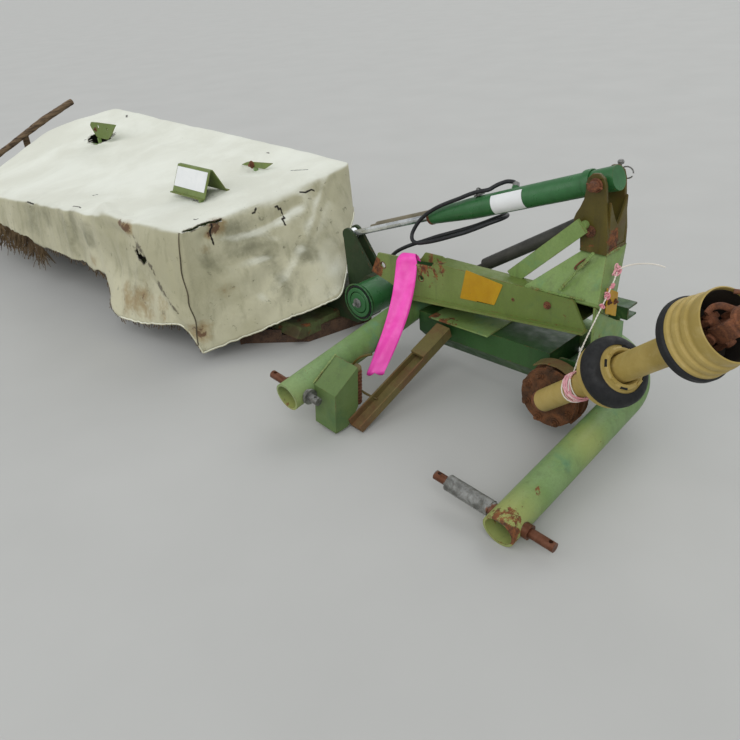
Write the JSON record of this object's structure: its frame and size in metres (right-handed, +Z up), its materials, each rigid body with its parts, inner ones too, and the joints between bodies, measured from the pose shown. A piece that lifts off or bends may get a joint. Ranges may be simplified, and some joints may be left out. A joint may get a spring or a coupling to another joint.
{
  "type": "mounted_disc_mower",
  "caption": "Mounted disc mower parked on its cutter bar, with a bent draft tube, a green lift cylinder, a canvas cover and a guarded drive shaft",
  "frame": {"origin": "On the ground, at the middle of the bounding box's bottom", "axes": "+X driving direction, +Y to the machine's left, +Z up"},
  "size_m": [1.1573, 4.5571, 0.8348],
  "materials": {
    "light_green_paint": "worn satin paint",
    "dark_green_paint": "worn satin paint",
    "bright_green_paint": "semi-gloss paint",
    "olive_paint": "dirty flat paint",
    "rusty_steel": "rough rust",
    "worn_steel": "dull worn steel",
    "chrome_rod": "polished",
    "khaki_plastic": "faded matte",
    "dark_grey_plastic": "matte",
    "black_rubber": "matte",
    "canvas_cloth": "coated weathered cloth",
    "old_wood": "weathered"
  },
  "bodies": {
    "headstock": {"draft_tube": "light_green_paint", "lower_pin_right": "rusty_steel", "lower_pin_left": "worn_steel", "spring_box": "light_green_paint", "trip_spring": "rusty_steel", "trip_strut": "olive_paint", "main_beam": "light_green_paint", "hinge_plate": "dark_green_paint", "beam_saddle": "light_green_paint", "tower": "light_green_paint", "tower_fork": "olive_paint", "tower_stay": "light_green_paint", "relief_tube": "dark_grey_plastic", "belt_guard": "dark_green_paint", "guard_cover": "light_green_paint", "input_bearing": "dark_green_paint", "slip_clutch": "rusty_steel", "shaft_joint": "rusty_steel", "guard_tube_inner": "khaki_plastic", "guard_bell_inner": "khaki_plastic", "channel_stub": "dark_green_paint"},
    "cutterbar": {"pivot_housing": "bright_green_paint", "swing_arm": "dark_green_paint", "lift_lug": "olive_paint", "gear_bed": "dark_green_paint", "skid_shoes": "rusty_steel", "inner_shoe": "rusty_steel", "outer_shoe": "rusty_steel", "cover_frame": "light_green_paint", "cover_brackets": "olive_paint", "canvas_cover": "canvas_cloth", "swath_stick": "old_wood"},
    "lift_cylinder_barrel": {"lift_barrel": "bright_green_paint", "lift_hose": "black_rubber"},
    "lift_cylinder_rod": {"lift_rod": "chrome_rod", "ribbed_sleeve": "worn_steel"},
    "shaft_guard_outer": {"guard_tube_outer": "khaki_plastic", "guard_bell_outer": "khaki_plastic", "shaft_yoke": "rusty_steel"},
    "cutting_disc_1": {"disc_1": "light_green_paint"},
    "cutting_disc_2": {"disc_2": "light_green_paint"},
    "cutting_disc_3": {"disc_3": "light_green_paint"},
    "cutting_disc_4": {"disc_4": "light_green_paint"},
    "cutting_disc_5": {"disc_5": "light_green_paint"},
    "cutting_disc_6": {"disc_6": "light_green_paint"}
  },
  "joints": [
    {"name": "fold", "type": "hinge", "parent": "headstock", "child": "cutterbar", "pos_m": [-0.0907, 0.7524, 0.23], "axis": [-1, 0, 0], "range_deg": [0, 90]},
    {"name": "barrel_swing", "type": "hinge", "parent": "headstock", "child": "lift_cylinder_barrel", "pos_m": [-0.1587, 1.6524, 0.788], "axis": [-1, 0, 0], "range_deg": [-4.96, 0]},
    {"name": "rod_slide", "type": "slide", "parent": "lift_cylinder_barrel", "child": "lift_cylinder_rod", "axis": [0, -0.947, -0.3211], "range_m": [-0.392, 0]},
    {"name": "shaft_slide", "type": "slide", "parent": "headstock", "child": "shaft_guard_outer", "axis": [0.2303, 0.7282, 0.6455], "range_m": [0, 0.15]},
    {"name": "disc_1_spin", "type": "hinge", "parent": "cutterbar", "child": "cutting_disc_1", "pos_m": [0.0613, 0.1024, 0.104], "axis": [0, 0, 1], "continuous": true},
    {"name": "disc_2_spin", "type": "hinge", "parent": "cutterbar", "child": "cutting_disc_2", "pos_m": [0.0613, -0.2826, 0.104], "axis": [0, 0, 1], "continuous": true},
    {"name": "disc_3_spin", "type": "hinge", "parent": "cutterbar", "child": "cutting_disc_3", "pos_m": [0.0613, -0.6676, 0.104], "axis": [0, 0, 1], "continuous": true},
    {"name": "disc_4_spin", "type": "hinge", "parent": "cutterbar", "child": "cutting_disc_4", "pos_m": [0.0613, -1.0526, 0.104], "axis": [0, 0, 1], "continuous": true},
    {"name": "disc_5_spin", "type": "hinge", "parent": "cutterbar", "child": "cutting_disc_5", "pos_m": [0.0613, -1.4376, 0.104], "axis": [0, 0, 1], "continuous": true},
    {"name": "disc_6_spin", "type": "hinge", "parent": "cutterbar", "child": "cutting_disc_6", "pos_m": [0.0613, -1.8226, 0.104], "axis": [0, 0, 1], "continuous": true}
  ],
  "couplings": [
    {"joint": "barrel_swing", "follows": "fold", "ratio": -0.044},
    {"joint": "rod_slide", "follows": "fold", "m_per_rad": -0.2464},
    {"joint": "disc_2_spin", "follows": "disc_1_spin", "ratio": -1},
    {"joint": "disc_3_spin", "follows": "disc_1_spin", "ratio": 1},
    {"joint": "disc_4_spin", "follows": "disc_1_spin", "ratio": -1},
    {"joint": "disc_5_spin", "follows": "disc_1_spin", "ratio": 1},
    {"joint": "disc_6_spin", "follows": "disc_1_spin", "ratio": -1}
  ]
}
